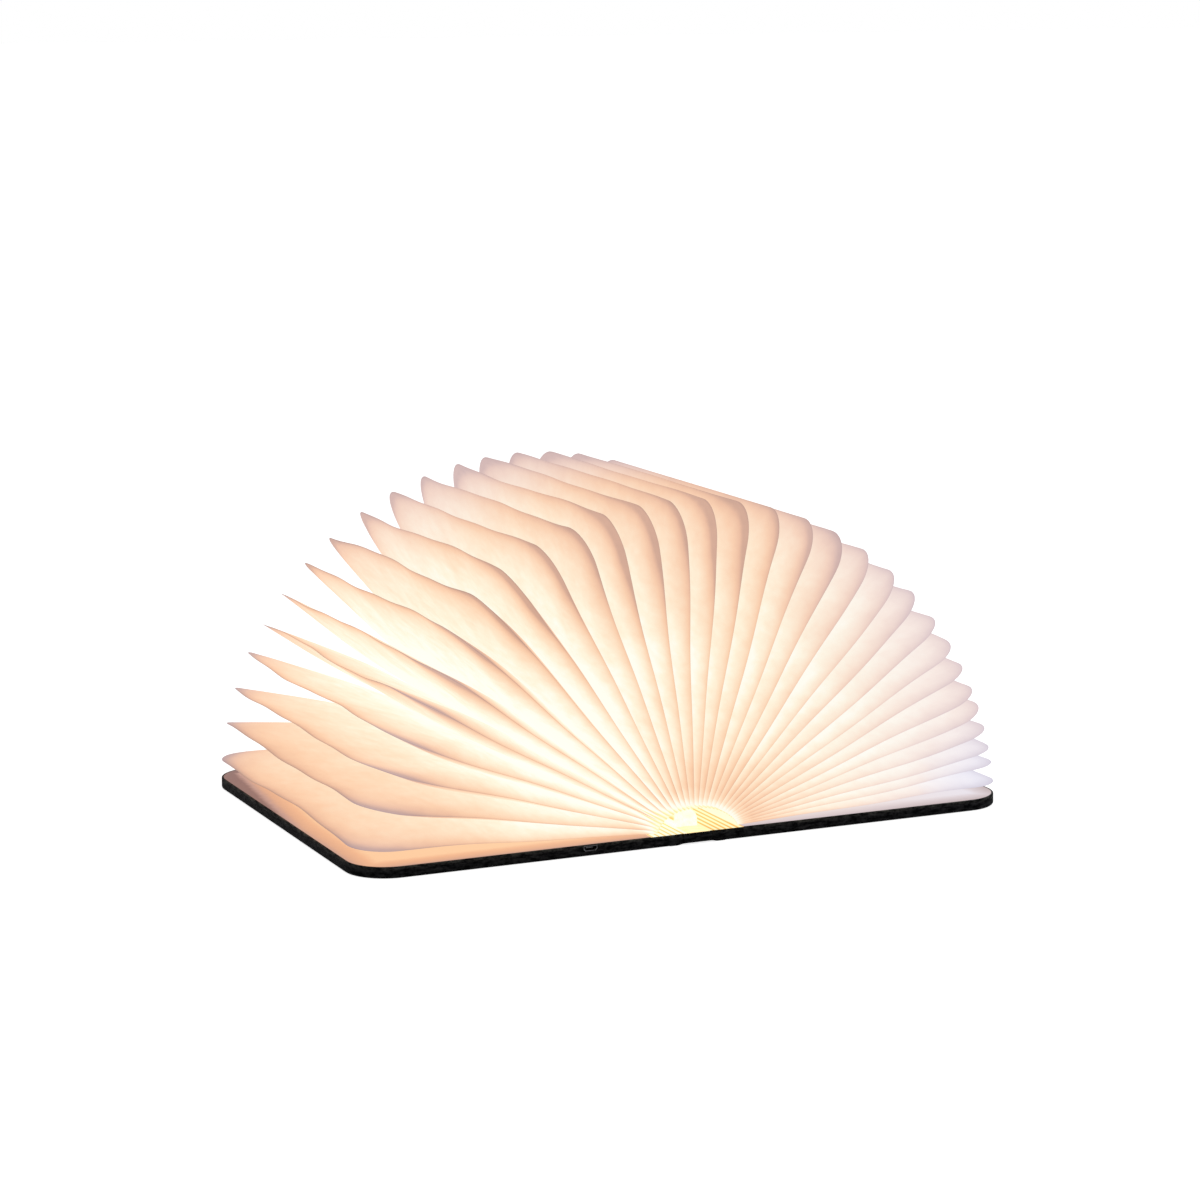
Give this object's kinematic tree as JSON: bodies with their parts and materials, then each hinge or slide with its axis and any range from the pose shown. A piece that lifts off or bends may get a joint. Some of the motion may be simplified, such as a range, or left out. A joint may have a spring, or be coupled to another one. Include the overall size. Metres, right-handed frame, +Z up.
{
  "type": "folding book lamp",
  "caption": "Lamp in the form of a hardback book: two black covers open flat and a fan of folded paper leaves glows around a light bar on the spine.",
  "frame": {"origin": "on the table under the middle of the spine, at the centre of the open lamp's footprint", "axes": "+X across the open covers to the right, -Y to the front end of the spine where the charging port is, +Z up"},
  "size_m": [0.33, 0.215, 0.1574],
  "materials": {
    "leather": "fine grain, satin",
    "board": "matt grey board",
    "endpaper": "smooth matt",
    "page": "fibrous, translucent, matt",
    "page_root": "fibrous, translucent, matt",
    "bar_metal": "white anodised",
    "screw_steel": "plain",
    "white_board": "solder mask",
    "led": "clear over phosphor",
    "diffuser": "opal",
    "pouch": "foil pouch",
    "green_board": "solder mask",
    "port_steel": "plated",
    "chip": "moulded",
    "red_lead": "insulated",
    "flat_lead": "flat ribbon",
    "magnet": "nickel plated"
  },
  "bodies": {
    "spine": {"spine_wrap": "leather", "spine_board": "board", "left_page_band": "page_root", "right_page_band": "page_root", "light_bar": "bar_metal", "bar_screws": "screw_steel", "led_board": "white_board", "leds": "led", "diffuser": "diffuser", "bar_end_caps": "diffuser", "spine_lead": "flat_lead"},
    "left_cover": {"left_wrap": "leather", "left_board": "board", "left_endpaper": "endpaper", "battery": "pouch", "control_board": "green_board", "charge_port": "port_steel", "hall_sensor": "chip", "battery_lead": "red_lead", "cover_lead": "flat_lead", "left_magnets": "magnet"},
    "right_cover": {"right_wrap": "leather", "right_board": "board", "right_endpaper": "endpaper", "right_magnets": "magnet", "trigger_magnet": "magnet"},
    "leaf_01": {"leaf_01": "page"},
    "leaf_02": {"leaf_02": "page"},
    "leaf_03": {"leaf_03": "page"},
    "leaf_04": {"leaf_04": "page"},
    "leaf_05": {"leaf_05": "page"},
    "leaf_06": {"leaf_06": "page"},
    "leaf_07": {"leaf_07": "page"},
    "leaf_08": {"leaf_08": "page"},
    "leaf_09": {"leaf_09": "page"},
    "leaf_10": {"leaf_10": "page"},
    "leaf_11": {"leaf_11": "page"},
    "leaf_12": {"leaf_12": "page"},
    "leaf_13": {"leaf_13": "page"},
    "leaf_14": {"leaf_14": "page"},
    "leaf_15": {"leaf_15": "page"},
    "leaf_16": {"leaf_16": "page"},
    "leaf_17": {"leaf_17": "page"},
    "leaf_18": {"leaf_18": "page"},
    "leaf_19": {"leaf_19": "page"},
    "leaf_20": {"leaf_20": "page"},
    "leaf_21": {"leaf_21": "page"},
    "leaf_22": {"leaf_22": "page"},
    "leaf_23": {"leaf_23": "page"},
    "leaf_24": {"leaf_24": "page"},
    "leaf_25": {"leaf_25": "page"},
    "leaf_26": {"leaf_26": "page"},
    "leaf_27": {"leaf_27": "page"},
    "leaf_28": {"leaf_28": "page"},
    "leaf_29": {"leaf_29": "page"},
    "leaf_30": {"leaf_30": "page"},
    "leaf_31": {"leaf_31": "page"}
  },
  "joints": [
    {"name": "left_cover_hinge", "type": "hinge", "parent": "spine", "child": "left_cover", "pos_m": [-0.01, 0, 0.0026], "axis": [0, 1, 0], "range_deg": [-92.5, 90], "deforming": ["left_page_band"]},
    {"name": "right_cover_hinge", "type": "hinge", "parent": "spine", "child": "right_cover", "pos_m": [0.01, 0, 0.0026], "axis": [0, -1, 0], "range_deg": [-92.5, 90], "deforming": ["right_page_band"]},
    {"name": "leaf_01_turn", "type": "hinge", "parent": "spine", "child": "leaf_01", "pos_m": [-0.01, 0, 0.0026], "axis": [0, 1, 0], "range_deg": [-89.23, 86.81]},
    {"name": "leaf_02_turn", "type": "hinge", "parent": "spine", "child": "leaf_02", "pos_m": [-0.00953, 0, 0.0026], "axis": [0, 1, 0], "range_deg": [-82.55, 80.31]},
    {"name": "leaf_03_turn", "type": "hinge", "parent": "spine", "child": "leaf_03", "pos_m": [-0.00901, 0, 0.0026], "axis": [0, 1, 0], "range_deg": [-75.86, 73.81]},
    {"name": "leaf_04_turn", "type": "hinge", "parent": "spine", "child": "leaf_04", "pos_m": [-0.00846, 0, 0.0026], "axis": [0, 1, 0], "range_deg": [-69.18, 67.32]},
    {"name": "leaf_05_turn", "type": "hinge", "parent": "spine", "child": "leaf_05", "pos_m": [-0.00788, 0, 0.0026], "axis": [0, 1, 0], "range_deg": [-62.5, 60.82]},
    {"name": "leaf_06_turn", "type": "hinge", "parent": "spine", "child": "leaf_06", "pos_m": [-0.00726, 0, 0.0026], "axis": [0, 1, 0], "range_deg": [-55.82, 54.31]},
    {"name": "leaf_07_turn", "type": "hinge", "parent": "spine", "child": "leaf_07", "pos_m": [-0.00661, 0, 0.0026], "axis": [0, 1, 0], "range_deg": [-48.67, 47.35]},
    {"name": "leaf_08_turn", "type": "hinge", "parent": "spine", "child": "leaf_08", "pos_m": [-0.00594, 0, 0.0026], "axis": [0, 1, 0], "range_deg": [-41.56, 40.43]},
    {"name": "leaf_09_turn", "type": "hinge", "parent": "spine", "child": "leaf_09", "pos_m": [-0.00525, 0, 0.0026], "axis": [0, 1, 0], "range_deg": [-34.53, 33.6]},
    {"name": "leaf_10_turn", "type": "hinge", "parent": "spine", "child": "leaf_10", "pos_m": [-0.00454, 0, 0.0026], "axis": [0, 1, 0], "range_deg": [-27.63, 26.89]},
    {"name": "leaf_11_turn", "type": "hinge", "parent": "spine", "child": "leaf_11", "pos_m": [-0.00381, 0, 0.0026], "axis": [0, 1, 0], "range_deg": [-20.88, 20.32]},
    {"name": "leaf_12_turn", "type": "hinge", "parent": "spine", "child": "leaf_12", "pos_m": [-0.00306, 0, 0.0026], "axis": [0, 1, 0], "range_deg": [-14.27, 13.89]},
    {"name": "leaf_13_turn", "type": "hinge", "parent": "spine", "child": "leaf_13", "pos_m": [-0.00231, 0, 0.0026], "axis": [0, 1, 0], "range_deg": [-7.81, 7.6]},
    {"name": "leaf_14_turn", "type": "hinge", "parent": "spine", "child": "leaf_14", "pos_m": [-0.00154, 0, 0.0026], "axis": [0, 1, 0], "range_deg": [-1.47, 1.43]},
    {"name": "leaf_15_turn", "type": "hinge", "parent": "spine", "child": "leaf_15", "pos_m": [-0.00077, 0, 0.0026], "axis": [0, -1, 0], "range_deg": [-4.81, 4.68]},
    {"name": "leaf_16_turn", "type": "hinge", "parent": "spine", "child": "leaf_16", "pos_m": [0, 0, 0.0026], "axis": [0, -1, 0], "range_deg": [-11.01, 10.72]},
    {"name": "leaf_17_turn", "type": "hinge", "parent": "spine", "child": "leaf_17", "pos_m": [0.00077, 0, 0.0026], "axis": [0, -1, 0], "range_deg": [-17.69, 17.21]},
    {"name": "leaf_18_turn", "type": "hinge", "parent": "spine", "child": "leaf_18", "pos_m": [0.00154, 0, 0.0026], "axis": [0, -1, 0], "range_deg": [-24.37, 23.71]},
    {"name": "leaf_19_turn", "type": "hinge", "parent": "spine", "child": "leaf_19", "pos_m": [0.00231, 0, 0.0026], "axis": [0, -1, 0], "range_deg": [-31.05, 30.22]},
    {"name": "leaf_20_turn", "type": "hinge", "parent": "spine", "child": "leaf_20", "pos_m": [0.00306, 0, 0.0026], "axis": [0, -1, 0], "range_deg": [-37.73, 36.72]},
    {"name": "leaf_21_turn", "type": "hinge", "parent": "spine", "child": "leaf_21", "pos_m": [0.00381, 0, 0.0026], "axis": [0, -1, 0], "range_deg": [-44.41, 43.21]},
    {"name": "leaf_22_turn", "type": "hinge", "parent": "spine", "child": "leaf_22", "pos_m": [0.00454, 0, 0.0026], "axis": [0, -1, 0], "range_deg": [-50.71, 49.34]},
    {"name": "leaf_23_turn", "type": "hinge", "parent": "spine", "child": "leaf_23", "pos_m": [0.00525, 0, 0.0026], "axis": [0, -1, 0], "range_deg": [-56.62, 55.09]},
    {"name": "leaf_24_turn", "type": "hinge", "parent": "spine", "child": "leaf_24", "pos_m": [0.00594, 0, 0.0026], "axis": [0, -1, 0], "range_deg": [-62.15, 60.47]},
    {"name": "leaf_25_turn", "type": "hinge", "parent": "spine", "child": "leaf_25", "pos_m": [0.00661, 0, 0.0026], "axis": [0, -1, 0], "range_deg": [-67.29, 65.47]},
    {"name": "leaf_26_turn", "type": "hinge", "parent": "spine", "child": "leaf_26", "pos_m": [0.00726, 0, 0.0026], "axis": [0, -1, 0], "range_deg": [-72.05, 70.11]},
    {"name": "leaf_27_turn", "type": "hinge", "parent": "spine", "child": "leaf_27", "pos_m": [0.00788, 0, 0.0026], "axis": [0, -1, 0], "range_deg": [-76.43, 74.36]},
    {"name": "leaf_28_turn", "type": "hinge", "parent": "spine", "child": "leaf_28", "pos_m": [0.00846, 0, 0.0026], "axis": [0, -1, 0], "range_deg": [-80.42, 78.24]},
    {"name": "leaf_29_turn", "type": "hinge", "parent": "spine", "child": "leaf_29", "pos_m": [0.00901, 0, 0.0026], "axis": [0, -1, 0], "range_deg": [-84.02, 81.75]},
    {"name": "leaf_30_turn", "type": "hinge", "parent": "spine", "child": "leaf_30", "pos_m": [0.00953, 0, 0.0026], "axis": [0, -1, 0], "range_deg": [-87.24, 84.88]},
    {"name": "leaf_31_turn", "type": "hinge", "parent": "spine", "child": "leaf_31", "pos_m": [0.01, 0, 0.0026], "axis": [0, -1, 0], "range_deg": [-90.08, 87.65]}
  ],
  "couplings": [
    {"joint": "leaf_01_turn", "follows": "left_cover_hinge", "ratio": 0.96444},
    {"joint": "leaf_02_turn", "follows": "left_cover_hinge", "ratio": 0.89222},
    {"joint": "leaf_03_turn", "follows": "left_cover_hinge", "ratio": 0.82},
    {"joint": "leaf_04_turn", "follows": "left_cover_hinge", "ratio": 0.74778},
    {"joint": "leaf_05_turn", "follows": "left_cover_hinge", "ratio": 0.67556},
    {"joint": "leaf_06_turn", "follows": "left_cover_hinge", "ratio": 0.60333},
    {"joint": "leaf_07_turn", "follows": "left_cover_hinge", "ratio": 0.52596},
    {"joint": "leaf_08_turn", "follows": "left_cover_hinge", "ratio": 0.44909},
    {"joint": "leaf_09_turn", "follows": "left_cover_hinge", "ratio": 0.37318},
    {"joint": "leaf_10_turn", "follows": "left_cover_hinge", "ratio": 0.29859},
    {"joint": "leaf_11_turn", "follows": "left_cover_hinge", "ratio": 0.22556},
    {"joint": "leaf_12_turn", "follows": "left_cover_hinge", "ratio": 0.15415},
    {"joint": "leaf_13_turn", "follows": "left_cover_hinge", "ratio": 0.08429},
    {"joint": "leaf_14_turn", "follows": "left_cover_hinge", "ratio": 0.01576},
    {"joint": "leaf_15_turn", "follows": "right_cover_hinge", "ratio": 0.05182},
    {"joint": "leaf_16_turn", "follows": "right_cover_hinge", "ratio": 0.11889},
    {"joint": "leaf_17_turn", "follows": "right_cover_hinge", "ratio": 0.19111},
    {"joint": "leaf_18_turn", "follows": "right_cover_hinge", "ratio": 0.26333},
    {"joint": "leaf_19_turn", "follows": "right_cover_hinge", "ratio": 0.33556},
    {"joint": "leaf_20_turn", "follows": "right_cover_hinge", "ratio": 0.40778},
    {"joint": "leaf_21_turn", "follows": "right_cover_hinge", "ratio": 0.48},
    {"joint": "leaf_22_turn", "follows": "right_cover_hinge", "ratio": 0.54807},
    {"joint": "leaf_23_turn", "follows": "right_cover_hinge", "ratio": 0.61198},
    {"joint": "leaf_24_turn", "follows": "right_cover_hinge", "ratio": 0.67173},
    {"joint": "leaf_25_turn", "follows": "right_cover_hinge", "ratio": 0.72733},
    {"joint": "leaf_26_turn", "follows": "right_cover_hinge", "ratio": 0.77878},
    {"joint": "leaf_27_turn", "follows": "right_cover_hinge", "ratio": 0.82607},
    {"joint": "leaf_28_turn", "follows": "right_cover_hinge", "ratio": 0.8692},
    {"joint": "leaf_29_turn", "follows": "right_cover_hinge", "ratio": 0.90818},
    {"joint": "leaf_30_turn", "follows": "right_cover_hinge", "ratio": 0.943},
    {"joint": "leaf_31_turn", "follows": "right_cover_hinge", "ratio": 0.97367}
  ]
}
